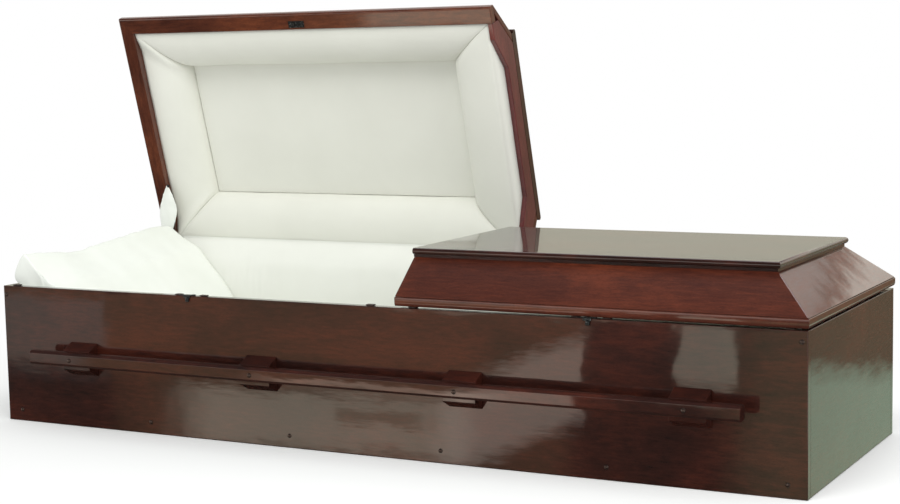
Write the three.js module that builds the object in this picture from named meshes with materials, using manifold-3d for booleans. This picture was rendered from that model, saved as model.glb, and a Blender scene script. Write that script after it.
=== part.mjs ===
// Half couch casket of lacquered wood: a lined box with a carrying bar down each side
// and two hip roofed lids hinged along the back, the head lid standing open.
// Millimetres, +Z up, origin at the middle of the underside, +X to the foot end, +Y to the hinges.
import * as THREE from 'three';
import { mergeVertices } from 'three/addons/utils/BufferGeometryUtils.js';
import Module from 'manifold-3d';

const wasm = await Module();
wasm.setup();

// Clearance between pieces that touch
const FIT = 0.3;

// Body
const BODY_LENGTH = 2030;
const BODY_WIDTH = 665;
const BODY_HEIGHT = 335;
const PANEL = 19;
const FLOOR = 36;

// Carrying bars and the brackets that hold them off the sides
const BAR_LENGTH = 1787;
const BAR_DEPTH = 28;
const BAR_HEIGHT = 33;
const BAR_CHAMFER = 5;
const BAR_CENTRE_Z = 173.5;
const BAR_STANDOFF = 33;
const BAR_TOWARDS_FOOT = 5;
const BRACKET_WIDTH = 80;
const BRACKET_ROOT_HEIGHT = 80;
const BRACKET_SLOPE = 17;
const BRACKET_CENTRE_Z = 167;
const BRACKET_INNER_X = 261;
const BRACKET_FROM_BAR_END = 119.5;

// Lids, measured closed, with heights above the plane of their own rim
const LID_OVERHANG = 3;
const LID_GAP = 7;
const LID_SPLIT_X = 95;
const LID_SPLIT_GAP = 3;
const BAND_HEIGHT = 17;
const BAND_WIDTH = 42;
const BAND_LOWER_ROUND = 6;
const BAND_UPPER_ROUND = 2;
const HIP_HEIGHT = 77;
const HIP_RUN_SIDE = 92;
const HIP_RUN_END = 90;
const HIP_BOARD = 15;
const TOP_THICKNESS = 20.6;
const TOP_PROJECTION = 6;
const TOP_FILLET_HEIGHT = 6.5;
const TOP_FILLET_SET_BACK = 1;
const HEADER = 13;
const NOTCH_DEPTH = 53;
const NOTCH_FOOT_FROM_EDGE = 83;
const NOTCH_SLANT = 85;

// Hinges: the head lid stands open by this angle, the foot lid is shut
const OPEN_ANGLE = THREE.MathUtils.degToRad(74.35);
const HINGE_OFFSET_Y = 8;
const HINGE_RISE = 4;
const HINGE_LENGTH = 76;
const HINGE_BARREL_RADIUS = 4;
const HINGE_LEAF = 1.8;
const HINGE_LEAF_DROP = 34;
const HINGE_INSET_X = 170;
const HINGE_KNUCKLE_GAP = 0.8;
const KNUCKLE_COUNT = 3;
const KNUCKLE_FACETS = 12;

// Lid lining: puffed border rolls round a sunk flat panel
const ROLL_INSET = 153;
const ROLL_RIM_CLEAR = 3;
const LINING_DEPTH = 80;

// Flat steps that stand in for each curve
const ROLL_STEPS = 8;
const TOP_EDGE_STEPS = 6;
const BAND_LOWER_STEPS = 4;
const BAND_UPPER_STEPS = 2;

// Latches and rim pads
const HOOK_WIDTH = 21;
const HOOK_THICKNESS = 3;
const HOOK_DROP = 15;
const HOOK_LIP = 12;
const HEAD_HOOK_OFFSET = 3;
const FOOT_HOOK_OFFSET = -6.5;
const PAD_LENGTH = 19;
const PAD_WIDTH = 14;
const PAD_FROM_EDGE = 9.5;
const PAD_FROM_BODY_END = 37;
const PAD_FROM_HEAD_SPLIT = 65;
const PAD_FROM_FOOT_SPLIT = 42;

// Body lining, bed and pillow
const LINING = 10;
const LINING_BELOW_RIM = 3;
const MATTRESS = 110;
const PILLOW_ABOVE_RIM = 80;
const PILLOW_LENGTH = 228.4;
const PILLOW_OVERHANG = 7;
const PILLOW_HEAD_FULL = 0.6;

// Slope of the pillow as shares of its length and of its height
const PILLOW_SLOPE = [[0.08, 1], [0.29, 0.9], [0.46, 0.79], [0.66, 0.61], [0.83, 0.39], [0.95, 0.16], [1, 0]];

// Lid stay in its cloth sleeve, and the cloth over the hinge side of the open lid
const STAY_THICKNESS = 5;
const STAY_CLEAR = 4;
const STAY_ABOVE_PILLOW = 2;
const STAY_HALF_WIDTHS = [8, 15, 23, 28, 26, 19, 13];
const STAY_TOP_Y = 136;
const STAY_FROM_END_WALL = 24;
const STAY_LEAN_X = -16;
const STAY_IN_FROM_WALL = 20;
const APRON_THICKNESS = 3;
const APRON_CLEAR = 2;
const APRON_END_GAP = 58;
const APRON_DROP = 105;

// Places worked out from the sizes
const halfLength = BODY_LENGTH / 2;
const halfWidth = BODY_WIDTH / 2;
const innerHalfLength = halfLength - PANEL;
const innerHalfWidth = halfWidth - PANEL;
const rimPlane = BODY_HEIGHT + LID_GAP;
const hingeY = halfWidth + HINGE_OFFSET_Y;
const hingeZ = BODY_HEIGHT + HINGE_RISE;
const lidHalfWidth = halfWidth + LID_OVERHANG;
const lidEnd = halfLength + LID_OVERHANG;
const hipTop = BAND_HEIGHT + HIP_HEIGHT;
const hipCut = HIP_BOARD * Math.hypot(HIP_HEIGHT, HIP_RUN_SIDE) / HIP_HEIGHT;
const mattressTop = FLOOR + FIT + MATTRESS;

// Materials
const lacquer = material('#4a2620', 0.16, 0);
const lacquerDark = material('#3a1f1b', 0.2, 0);
const cloth = material('#f1f0ea', 0.9, 0);
const liningCloth = material('#e6e6dd', 0.9, 0);
const steel = material('#3b3f42', 0.4, 0.9);
const rubber = material('#151515', 0.7, 0);

const model = new THREE.Group();

function material(color, roughness, metalness) {
  return new THREE.MeshStandardMaterial({ color, roughness, metalness });
}

function add(parent, name, geometry, look, x = 0, y = 0, z = 0) {
  const mesh = new THREE.Mesh(geometry, look);
  mesh.name = name;
  mesh.position.set(x, y, z);
  parent.add(mesh);
  return mesh;
}

function box(lengthX, lengthY, lengthZ) {
  return new THREE.BoxGeometry(lengthX, lengthY, lengthZ);
}

// Joins two rings of points, which share one section in the plane, into a closed body
function loft(startRing, endRing, section) {
  if (THREE.ShapeUtils.isClockWise(section)) {
    return loft([...startRing].reverse(), [...endRing].reverse(), [...section].reverse());
  }
  const count = section.length;
  const caps = THREE.ShapeUtils.triangulateShape(section, []);
  const faces = [];
  for (const [a, b, c] of caps) {
    faces.push([a, b, c], [count + c, count + b, count + a]);
  }
  for (let i = 0; i < count; i += 1) {
    const next = (i + 1) % count;
    faces.push([i, count + i, next], [next, count + i, count + next]);
  }
  return closedBody([...startRing, ...endRing], faces);
}

// Builds a geometry from points and faces, turned so that its faces point out
function closedBody(points, faces) {
  let volume = 0;
  for (const [a, b, c] of faces) {
    volume += points[a].dot(new THREE.Vector3().crossVectors(points[b], points[c]));
  }
  const index = faces.flatMap(([a, b, c]) => (volume > 0 ? [a, b, c] : [a, c, b]));
  const geometry = new THREE.BufferGeometry();
  geometry.setAttribute('position', new THREE.Float32BufferAttribute(points.flatMap((p) => p.toArray()), 3));
  geometry.setIndex(index);
  geometry.computeVertexNormals();
  return geometry;
}

// Joins a stack of convex rings, all with the same number of corners, into a closed body
function stack(rings) {
  const corners = rings[0].length;
  const last = corners * (rings.length - 1);
  const faces = [];
  for (let corner = 2; corner < corners; corner += 1) {
    faces.push([0, corner - 1, corner], [last, last + corner, last + corner - 1]);
  }
  for (let row = 0; row < last; row += corners) {
    for (let corner = 0; corner < corners; corner += 1) {
      const a = row + corner;
      const b = row + (corner + 1) % corners;
      faces.push([a, a + corners, b], [b, a + corners, b + corners]);
    }
  }
  return closedBody(rings.flat(), faces);
}

// A section in Y and Z drawn out along X between two places
function alongX(section, fromX, toX) {
  const ring = (x) => section.map((p) => new THREE.Vector3(x, p.x, p.y));
  return loft(ring(fromX), ring(toX), section);
}

// A section in X and Z drawn out along Y between two places
function alongY(section, fromY, toY) {
  const ring = (y) => section.map((p) => new THREE.Vector3(p.x, y, p.y));
  return loft(ring(fromY), ring(toY), section);
}

function points2(list) {
  return list.map(([x, y]) => new THREE.Vector2(x, y));
}

// Arc points about a centre, angles in degrees, both ends included
function arc(centreX, centreY, radius, fromDegrees, toDegrees, steps) {
  const list = [];
  for (let i = 0; i <= steps; i += 1) {
    const angle = THREE.MathUtils.degToRad(fromDegrees + (toDegrees - fromDegrees) * i / steps);
    list.push([centreX + radius * Math.cos(angle), centreY + radius * Math.sin(angle)]);
  }
  return list;
}

// One side of a frame that runs round a rectangle, cut to the corner lines at both ends.
// Section points are [inset from the side's line, height]; each side may stretch its insets.
function frameSide(rect, insets, side, sectionList, endGap) {
  const section = points2(sectionList);
  const place = {
    left: (a) => rect.left + insets.left(a),
    right: (a) => rect.right - insets.right(a),
    front: (a) => rect.front + insets.front(a),
    back: (a) => rect.back - insets.back(a),
  };
  const lengthwise = side === 'front' || side === 'back';
  const [low, high] = lengthwise ? ['left', 'right'] : ['front', 'back'];
  const ring = (corner, gap) => section.map(({ x: inset, y: height }) => {
    const across = place[side](inset);
    const along = place[corner](inset) + gap;
    return lengthwise
      ? new THREE.Vector3(along, across, height)
      : new THREE.Vector3(across, along, height);
  });
  return loft(ring(low, endGap), ring(high, -endGap), section);
}

// Body of the casket
function buildBody() {
  const root = new THREE.Group();
  const sideY = halfWidth - PANEL / 2;
  const sidePanel = box(BODY_LENGTH, PANEL, BODY_HEIGHT);
  add(root, 'side_front', sidePanel, lacquer, 0, -sideY, BODY_HEIGHT / 2);
  add(root, 'side_back', sidePanel, lacquer, 0, sideY, BODY_HEIGHT / 2);
  const endPanel = box(PANEL, 2 * (innerHalfWidth - FIT), BODY_HEIGHT);
  add(root, 'end_head', endPanel, lacquer, -(halfLength - PANEL / 2), 0, BODY_HEIGHT / 2);
  add(root, 'end_foot', endPanel, lacquer, halfLength - PANEL / 2, 0, BODY_HEIGHT / 2);
  const floorBoard = box(2 * (innerHalfLength - FIT), 2 * (innerHalfWidth - FIT), FLOOR);
  add(root, 'floor_board', floorBoard, lacquerDark, 0, 0, FLOOR / 2);
  return root;
}

// One bar and its four brackets; facing is -1 on the front and 1 on the back
function buildCarrier(side, facing) {
  const root = new THREE.Group();
  root.position.x = BAR_TOWARDS_FOOT;
  const inner = halfWidth + BAR_STANDOFF;
  const outer = inner + BAR_DEPTH;
  const low = BAR_CENTRE_Z - BAR_HEIGHT / 2;
  const high = BAR_CENTRE_Z + BAR_HEIGHT / 2;
  const c = BAR_CHAMFER;
  const barSection = [
    [inner, low + c], [inner + c, low], [outer - c, low], [outer, low + c],
    [outer, high - c], [outer - c, high], [inner + c, high], [inner, high - c],
  ].map(([y, z]) => [facing * y, z]);
  add(root, `bar_${side}`, alongX(points2(barSection), -BAR_LENGTH / 2, BAR_LENGTH / 2), lacquer);

  const rootHalf = BRACKET_ROOT_HEIGHT / 2;
  const tipHalf = rootHalf - BRACKET_SLOPE;
  const bracketSection = [
    [halfWidth + FIT, BRACKET_CENTRE_Z - rootHalf],
    [inner - FIT, BRACKET_CENTRE_Z - tipHalf],
    [inner - FIT, BRACKET_CENTRE_Z + tipHalf],
    [halfWidth + FIT, BRACKET_CENTRE_Z + rootHalf],
  ].map(([y, z]) => [facing * y, z]);
  const bracket = alongX(points2(bracketSection), -BRACKET_WIDTH / 2, BRACKET_WIDTH / 2);
  const outerX = BAR_LENGTH / 2 - BRACKET_FROM_BAR_END;
  const places = [-outerX, -BRACKET_INNER_X, BRACKET_INNER_X, outerX];
  places.forEach((x, i) => add(root, `bracket_${side}_${i + 1}`, bracket, lacquer, x));
  return root;
}

// Cross section of the lid's bottom frame: a flat board with its outer edges rounded
function bandSection() {
  return [
    [BAND_WIDTH, 0],
    [BAND_WIDTH, BAND_HEIGHT],
    ...arc(BAND_UPPER_ROUND, BAND_HEIGHT - BAND_UPPER_ROUND, BAND_UPPER_ROUND, 90, 180, BAND_UPPER_STEPS),
    ...arc(BAND_LOWER_ROUND, BAND_LOWER_ROUND, BAND_LOWER_ROUND, 180, 270, BAND_LOWER_STEPS),
  ];
}

// Inset of the hip board's outer face at a height above the lid's rim
function hipInset(height) {
  return (height - BAND_HEIGHT) * HIP_RUN_SIDE / HIP_HEIGHT;
}

function hipSection() {
  const foot = BAND_HEIGHT + FIT;
  return [
    [hipInset(foot), foot],
    [hipInset(hipTop), hipTop],
    [hipInset(hipTop) + hipCut, hipTop],
    [hipInset(foot) + hipCut, foot],
  ];
}

// Cross section of a lining roll: straight against the lid's boards, puffed towards the inside
function rollSection() {
  const start = BAND_WIDTH + FIT;
  const top = hipTop - FIT;
  const hipFace = (height) => hipInset(height) + hipCut + FIT * 2;
  const cornerHeight = BAND_HEIGHT + (start - hipCut - FIT * 2) * HIP_HEIGHT / HIP_RUN_SIDE;
  const section = [
    [start, cornerHeight],
    [hipFace(top), top],
    [ROLL_INSET, top],
  ];
  const puffWidth = ROLL_INSET - start;
  const puffHeight = LINING_DEPTH - ROLL_RIM_CLEAR;
  for (let i = 0; i <= ROLL_STEPS; i += 1) {
    const angle = Math.PI / 2 * i / ROLL_STEPS;
    section.push([
      start + puffWidth * Math.cos(angle),
      LINING_DEPTH - puffHeight * Math.sin(angle),
    ]);
  }
  return section;
}

// Flat top board with a fillet under a rounded edge on three sides, cut square at the split
function topPanel(rect, splitSide) {
  const round = (TOP_THICKNESS - TOP_FILLET_HEIGHT) / 2;
  const foot = hipTop + FIT;
  const crown = hipTop + TOP_THICKNESS;
  const reach = TOP_PROJECTION - round;
  const edge = [
    [-TOP_FILLET_SET_BACK, foot],
    [-TOP_FILLET_SET_BACK, crown - 2 * round],
    ...arc(reach, crown - round, round, -90, 90, TOP_EDGE_STEPS),
  ];
  const splitX = rect[splitSide];
  const outward = splitSide === 'right' ? -1 : 1;
  const endX = splitSide === 'right' ? rect.left + HIP_RUN_END : rect.right - HIP_RUN_END;
  return stack(edge.map(([reachOut, height]) => {
    const x = endX + outward * reachOut;
    const y = lidHalfWidth - HIP_RUN_SIDE + reachOut;
    return [
      new THREE.Vector3(splitX, -y, height),
      new THREE.Vector3(x, -y, height),
      new THREE.Vector3(x, y, height),
      new THREE.Vector3(splitX, y, height),
    ];
  }));
}

// Board that closes the lid at the split, under the hips, with a wide notch in its lower edge
function header(fromX, toX) {
  const half = lidHalfWidth;
  const footY = half - BAND_WIDTH - FIT;
  const kneeHeight = BAND_HEIGHT + (BAND_WIDTH + FIT * 2 - hipCut) * HIP_HEIGHT / HIP_RUN_SIDE;
  const top = hipTop - FIT;
  const topY = half - hipInset(top) - hipCut - FIT;
  const notchFoot = half - NOTCH_FOOT_FROM_EDGE;
  const notchTop = notchFoot - NOTCH_SLANT;
  const right = [
    [notchTop, NOTCH_DEPTH], [notchFoot, 0], [footY, 0], [footY, kneeHeight - FIT], [topY, top],
  ];
  const left = right.map(([y, z]) => [-y, z]).reverse();
  return alongX(points2([...right, ...left]), fromX, toX);
}

// A lid with its boards, its lining and its leaves; splitSide faces the other lid
function buildLid(name, rect, splitSide) {
  const endSide = splitSide === 'right' ? 'left' : 'right';
  const same = (a) => a;
  const endShare = HIP_RUN_END / HIP_RUN_SIDE;
  const lid = new THREE.Group();

  const bandInsets = { front: same, back: same, [endSide]: same, [splitSide]: () => 0 };
  const hipInsets = { ...bandInsets, [endSide]: (a) => a * endShare };
  const boardSides = [['front', 'front'], ['back', 'back'], ['end', endSide]];
  for (const [label, side] of boardSides) {
    add(lid, `${name}_band_${label}`, frameSide(rect, bandInsets, side, bandSection(), FIT / 2), lacquer);
    add(lid, `${name}_hip_${label}`, frameSide(rect, hipInsets, side, hipSection(), FIT / 2), lacquer);
  }
  add(lid, `${name}_top`, topPanel(rect, splitSide), lacquer);

  const headerOuter = rect[splitSide];
  const headerInner = headerOuter + (splitSide === 'right' ? -HEADER : HEADER);
  add(lid, `${name}_header`, header(headerInner, headerOuter), lacquer);

  const start = BAND_WIDTH + FIT;
  const headerShare = (ROLL_INSET - HEADER - FIT) / (ROLL_INSET - start);
  const rollInsets = {
    front: same,
    back: same,
    [endSide]: same,
    [splitSide]: (a) => HEADER + FIT + (a - start) * headerShare,
  };
  for (const [label, side] of [...boardSides, ['header', splitSide]]) {
    const roll = frameSide(rect, rollInsets, side, rollSection(), FIT / 2);
    add(lid, `${name}_roll_${label}`, roll, liningCloth);
  }
  const panelHeight = hipTop - FIT - LINING_DEPTH;
  const panel = box(
    rect.right - rect.left - 2 * (ROLL_INSET + FIT),
    2 * (lidHalfWidth - ROLL_INSET - FIT),
    panelHeight,
  );
  const panelX = (rect.left + rect.right) / 2;
  add(lid, `${name}_lining_panel`, panel, liningCloth, panelX, 0, LINING_DEPTH + panelHeight / 2);
  return lid;
}

function toManifold(geometry) {
  const bare = geometry.clone();
  bare.deleteAttribute('normal');
  bare.deleteAttribute('uv');
  const merged = mergeVertices(bare);
  return new wasm.Manifold(new wasm.Mesh({
    numProp: 3,
    vertProperties: new Float32Array(merged.attributes.position.array),
    triVerts: new Uint32Array(merged.index.array),
  }));
}

function fromManifold(solid) {
  const mesh = solid.getMesh();
  const geometry = new THREE.BufferGeometry();
  geometry.setAttribute('position', new THREE.BufferAttribute(new Float32Array(mesh.vertProperties), 3));
  geometry.setIndex(new THREE.BufferAttribute(new Uint32Array(mesh.triVerts), 1));
  geometry.computeVertexNormals();
  return geometry;
}

function joined(geometries) {
  return fromManifold(geometries.map(toManifold).reduce((whole, piece) => whole.add(piece)));
}

// Barrel knuckle of a butt hinge, centred on the hinge line
function knuckle(fromX, toX) {
  const turns = KNUCKLE_FACETS - 1;
  const section = arc(hingeY, hingeZ, HINGE_BARREL_RADIUS, 0, 360 * turns / KNUCKLE_FACETS, turns);
  return alongX(points2(section), fromX, toX);
}

function plate(fromX, toX, fromY, toY, fromZ, toZ) {
  const geometry = box(toX - fromX, toY - fromY, toZ - fromZ);
  return geometry.translate((fromX + toX) / 2, (fromY + toY) / 2, (fromZ + toZ) / 2);
}

// The leaf on the body's back carries the two outer knuckles
function bodyLeaf(centreX) {
  const half = HINGE_LENGTH / 2;
  const middle = half / KNUCKLE_COUNT;
  const faceY = halfWidth + FIT;
  const leafFoot = BODY_HEIGHT - HINGE_LEAF_DROP;
  const barrelFoot = hingeZ - HINGE_BARREL_RADIUS;
  const pieces = [
    plate(centreX - half, centreX + half, faceY, faceY + HINGE_LEAF, leafFoot, barrelFoot),
  ];
  for (const [from, to] of [[-half, -middle], [middle, half]]) {
    const near = centreX + from;
    const far = centreX + to;
    pieces.push(knuckle(near, far));
    pieces.push(plate(near, far, faceY, hingeY, barrelFoot - HINGE_LEAF, hingeZ - HINGE_LEAF));
  }
  return joined(pieces);
}

// The leaf on the lid's back edge carries the middle knuckle
function lidLeaf(centreX) {
  const half = HINGE_LENGTH / 2;
  const near = centreX - half / KNUCKLE_COUNT + HINGE_KNUCKLE_GAP;
  const far = centreX + half / KNUCKLE_COUNT - HINGE_KNUCKLE_GAP;
  const faceY = lidHalfWidth + FIT;
  const leafFoot = hingeZ + HINGE_BARREL_RADIUS + HINGE_KNUCKLE_GAP;
  const leafTop = rimPlane + BAND_HEIGHT - BAND_UPPER_ROUND;
  return joined([
    plate(centreX - half, centreX + half, faceY, faceY + HINGE_LEAF, leafFoot, leafTop),
    plate(near, far, faceY, faceY + HINGE_LEAF, hingeZ, leafFoot + HINGE_LEAF),
    knuckle(near, far),
  ]);
}

// Hook of a latch, lying over the front rim and down its face
function latchHook(centreX) {
  const face = -halfWidth - FIT;
  const top = BODY_HEIGHT + FIT;
  const section = points2([
    [face, BODY_HEIGHT - HOOK_DROP],
    [face, top],
    [face + HOOK_LIP, top],
    [face + HOOK_LIP, top + HOOK_THICKNESS],
    [face - HOOK_THICKNESS, top + HOOK_THICKNESS],
    [face - HOOK_THICKNESS, BODY_HEIGHT - HOOK_DROP],
  ]);
  return alongX(section, centreX - HOOK_WIDTH / 2, centreX + HOOK_WIDTH / 2);
}

// Padded cloth round the inside of the body, open above and below
function bodyLining() {
  const x = innerHalfLength - FIT;
  const y = innerHalfWidth - FIT;
  const outer = new THREE.Shape(points2([[-x, -y], [x, -y], [x, y], [-x, y]]));
  const inX = x - LINING;
  const inY = y - LINING;
  outer.holes.push(new THREE.Path(points2([[-inX, -inY], [-inX, inY], [inX, inY], [inX, -inY]])));
  const depth = BODY_HEIGHT - LINING_BELOW_RIM - FLOOR - FIT;
  return new THREE.ExtrudeGeometry(outer, { depth, bevelEnabled: false }).translate(0, 0, FLOOR + FIT);
}

// Wedge of a pillow, sloping from over the head rim down to the mattress
function pillow() {
  const bed = mattressTop + 2 * FIT;
  const headX = -(innerHalfLength - LINING - 2 * FIT);
  const rimX = -(innerHalfLength + PILLOW_OVERHANG);
  const rimTop = BODY_HEIGHT + PILLOW_ABOVE_RIM;
  const clearRim = BODY_HEIGHT + FIT;
  const slope = ([share, height]) => [headX + PILLOW_LENGTH * share, bed + (rimTop - bed) * height];
  const section = points2([
    [headX, bed],
    slope([0, PILLOW_HEAD_FULL]),
    [headX, BODY_HEIGHT - LINING_BELOW_RIM],
    [headX, clearRim],
    [rimX, clearRim + PAD_WIDTH],
    [rimX - FIT, rimTop - PILLOW_ABOVE_RIM / 3],
    [rimX + PILLOW_OVERHANG, rimTop - FIT],
    ...PILLOW_SLOPE.map(slope),
  ]);
  const halfY = innerHalfWidth - LINING - APRON_THICKNESS - 4 * FIT;
  return alongY(section, -halfY, halfY);
}

// Cloth sleeve of the lid stay: a leaf hanging in front of the open lid's end, down to the pillow
function lidStay() {
  const dy = STAY_TOP_Y - hingeY;
  const dz = rimPlane - STAY_CLEAR - hingeZ;
  const cos = Math.cos(OPEN_ANGLE);
  const sin = Math.sin(OPEN_ANGLE);
  const topX = STAY_FROM_END_WALL - innerHalfLength;
  const topPoint = new THREE.Vector3(topX, hingeY + cos * dy + sin * dz, hingeZ - sin * dy + cos * dz);
  const bottomPoint = new THREE.Vector3(
    topX + STAY_LEAN_X,
    innerHalfWidth - STAY_IN_FROM_WALL,
    BODY_HEIGHT + PILLOW_ABOVE_RIM + STAY_ABOVE_PILLOW,
  );
  const along = bottomPoint.clone().sub(topPoint);
  const across = new THREE.Vector3(1, 0, 0);
  const normal = new THREE.Vector3().crossVectors(along, across).normalize();
  const rings = STAY_HALF_WIDTHS.map((half, i) => {
    const centre = topPoint.clone().addScaledVector(along, i / (STAY_HALF_WIDTHS.length - 1));
    const corner = (side, face) => centre.clone()
      .addScaledVector(across, side * half)
      .addScaledVector(normal, face * STAY_THICKNESS / 2);
    return [corner(-1, -1), corner(1, -1), corner(1, 1), corner(-1, 1)];
  });
  return stack(rings);
}

// Cloth that hides the open lid's hinge side, from the lid's lining down inside the back wall
function hingeApron(fromX, toX) {
  const bandFace = (closedY, proud) => {
    const dy = closedY - hingeY;
    const dz = rimPlane - proud - hingeZ;
    return [
      hingeY + Math.cos(OPEN_ANGLE) * dy + Math.sin(OPEN_ANGLE) * dz,
      hingeZ - Math.sin(OPEN_ANGLE) * dy + Math.cos(OPEN_ANGLE) * dz,
    ];
  };
  const inner = lidHalfWidth - BAND_WIDTH;
  const wallY = innerHalfWidth - LINING - 2 * FIT;
  const bottom = BODY_HEIGHT - APRON_DROP;
  const near = APRON_CLEAR + APRON_THICKNESS;
  const liningTop = BODY_HEIGHT - LINING_BELOW_RIM + APRON_CLEAR;
  const turnY = innerHalfWidth - LINING / 2;
  const section = points2([
    bandFace(inner, APRON_CLEAR),
    bandFace(lidHalfWidth - BAND_WIDTH / 2, APRON_CLEAR),
    [turnY, liningTop + near],
    [wallY, liningTop],
    [wallY, bottom],
    [wallY - APRON_THICKNESS, bottom],
    [wallY - APRON_THICKNESS, liningTop + APRON_CLEAR],
    [turnY - APRON_THICKNESS, liningTop + near + APRON_CLEAR],
    bandFace(lidHalfWidth - BAND_WIDTH / 2, near),
    bandFace(inner, near),
  ]);
  return alongX(section, fromX, toX);
}

// The whole casket
const lidSides = { front: -lidHalfWidth, back: lidHalfWidth };
const headRect = { ...lidSides, left: -lidEnd, right: LID_SPLIT_X - LID_SPLIT_GAP / 2 };
const footRect = { ...lidSides, left: LID_SPLIT_X + LID_SPLIT_GAP / 2, right: lidEnd };

model.add(buildBody());
model.add(buildCarrier('front', -1));
model.add(buildCarrier('back', 1));

// Each lid hangs in a group that turns about the hinge line
function hungLid(name, rect, splitSide, angle) {
  const swing = new THREE.Group();
  swing.position.set(0, hingeY, hingeZ);
  swing.rotation.x = -angle;
  const closedPlace = new THREE.Group();
  closedPlace.position.set(0, -hingeY, -hingeZ);
  swing.add(closedPlace);
  const lid = buildLid(name, rect, splitSide);
  lid.position.z = rimPlane;
  closedPlace.add(lid);
  const leaves = [rect.left + HINGE_INSET_X, rect.right - HINGE_INSET_X];
  leaves.forEach((x, i) => {
    add(closedPlace, `${name}_hinge_leaf_${i + 1}`, lidLeaf(x), steel);
    add(model, `body_hinge_leaf_${name}_${i + 1}`, bodyLeaf(x), steel);
  });
  model.add(swing);
}
hungLid('head_lid', headRect, 'right', OPEN_ANGLE);
hungLid('foot_lid', footRect, 'left', 0);

const middle = (rect) => (rect.left + rect.right) / 2;
add(model, 'latch_head', latchHook(middle(headRect) + HEAD_HOOK_OFFSET), steel);
add(model, 'latch_foot', latchHook(middle(footRect) + FOOT_HOOK_OFFSET), steel);

const padHeight = LID_GAP - 2 * FIT;
const padPlaces = [
  PAD_FROM_BODY_END - halfLength,
  LID_SPLIT_X - PAD_FROM_HEAD_SPLIT,
  LID_SPLIT_X + PAD_FROM_FOOT_SPLIT,
  halfLength - PAD_FROM_BODY_END,
];
const pad = box(PAD_LENGTH, PAD_WIDTH, padHeight);
const padY = PAD_FROM_EDGE - halfWidth;
const padZ = BODY_HEIGHT + FIT + padHeight / 2;
padPlaces.forEach((x, i) => add(model, `rim_pad_${i + 1}`, pad, rubber, x, padY, padZ));

add(model, 'body_lining', bodyLining(), cloth);
const mattressX = 2 * (innerHalfLength - LINING - 2 * FIT);
const mattressY = 2 * (innerHalfWidth - LINING - 2 * FIT);
add(model, 'mattress', box(mattressX, mattressY, MATTRESS), cloth, 0, 0, mattressTop - MATTRESS / 2);
add(model, 'pillow', pillow(), cloth);
add(model, 'lid_stay', lidStay(), cloth);
add(model, 'hinge_apron', hingeApron(headRect.left + APRON_END_GAP, headRect.right - HEADER), cloth);

export default model;
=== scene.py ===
# Looks of a half couch casket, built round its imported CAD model.
# Metres, Z up, X towards the foot end, Y towards the hinges.
import math

import bmesh
import bpy
from mathutils import Matrix, Vector, noise


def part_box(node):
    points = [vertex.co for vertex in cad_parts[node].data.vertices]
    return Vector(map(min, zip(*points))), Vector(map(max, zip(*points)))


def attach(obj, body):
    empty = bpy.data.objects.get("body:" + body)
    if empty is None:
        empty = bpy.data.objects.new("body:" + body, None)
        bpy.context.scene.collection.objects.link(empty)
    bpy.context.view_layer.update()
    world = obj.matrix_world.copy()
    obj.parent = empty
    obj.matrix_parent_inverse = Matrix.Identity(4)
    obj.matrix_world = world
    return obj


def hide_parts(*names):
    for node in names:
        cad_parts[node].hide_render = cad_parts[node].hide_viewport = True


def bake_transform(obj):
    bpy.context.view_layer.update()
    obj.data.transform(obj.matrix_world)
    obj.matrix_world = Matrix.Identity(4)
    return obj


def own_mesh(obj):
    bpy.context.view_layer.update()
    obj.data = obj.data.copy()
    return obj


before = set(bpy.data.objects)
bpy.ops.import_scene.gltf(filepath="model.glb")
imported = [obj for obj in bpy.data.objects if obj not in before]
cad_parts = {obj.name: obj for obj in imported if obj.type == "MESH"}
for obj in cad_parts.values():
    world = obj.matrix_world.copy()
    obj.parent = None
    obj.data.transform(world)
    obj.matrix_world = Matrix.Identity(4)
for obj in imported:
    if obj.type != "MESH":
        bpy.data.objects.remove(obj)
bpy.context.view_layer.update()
scene = bpy.context.scene

# Camera fitted to the photograph
EYE = Vector((1.9934, -3.6307, 0.8835))
YAW = math.radians(28.0627)
PITCH = math.radians(-6.4378)
ROLL = math.radians(-1.1743)
SENSOR = 36.0
LENS = 70.672

# Body and lid sizes that the looks follow
FIT = 0.0003
HALF_LENGTH = 1.015
HALF_WIDTH = 0.3325
BODY_HEIGHT = 0.335
PANEL = 0.019
FLOOR = 0.036
RIM_PLANE = 0.342
LID_HALF_WIDTH = 0.3355
BAND_WIDTH = 0.042
BAND_HEIGHT = 0.017
HIP_TOP = 0.094
HIP_HEIGHT = 0.077
HIP_RUN_SIDE = 0.092
HIP_RUN_END = 0.090
HIP_CUT = 0.015 * math.hypot(HIP_HEIGHT, HIP_RUN_SIDE) / HIP_HEIGHT
TOP_THICKNESS = 0.0206
TOP_PROJECTION = 0.006
TOP_FILLET = 0.0065
TOP_SET_BACK = 0.001
RIM_DROP = 0.0034
BACK_RIM_DROP = 0.0022
HEADER = 0.013
ROLL_INSET = 0.153
ROLL_RIM_CLEAR = 0.003
LINING_DEPTH = 0.080
LINING = 0.010
MATTRESS_TOP = 0.1463

LIDS = {
    "head_lid": {"left": -1.018, "right": 0.0935, "end": "left", "split": "right"},
    "foot_lid": {"left": 0.0965, "right": 1.018, "end": "right", "split": "left"},
}
HINGE = Vector((0, 0.3405, 0.339))
OPEN_ANGLE = math.radians(74.35)

# Closed lid to the place where it stands at rest
HEAD_OPEN = (
    Matrix.Translation(HINGE)
    @ Matrix.Rotation(-OPEN_ANGLE, 4, "X")
    @ Matrix.Translation(-HINGE)
)
PLACES = {"head_lid": HEAD_OPEN, "foot_lid": Matrix.Identity(4)}

# Corners of a square in turn
SQUARE = ((-1, -1), (1, -1), (1, 1), (-1, 1))


def add_object(name, data):
    made = bpy.data.objects.new(name, data)
    scene.collection.objects.link(made)
    return made


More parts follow.
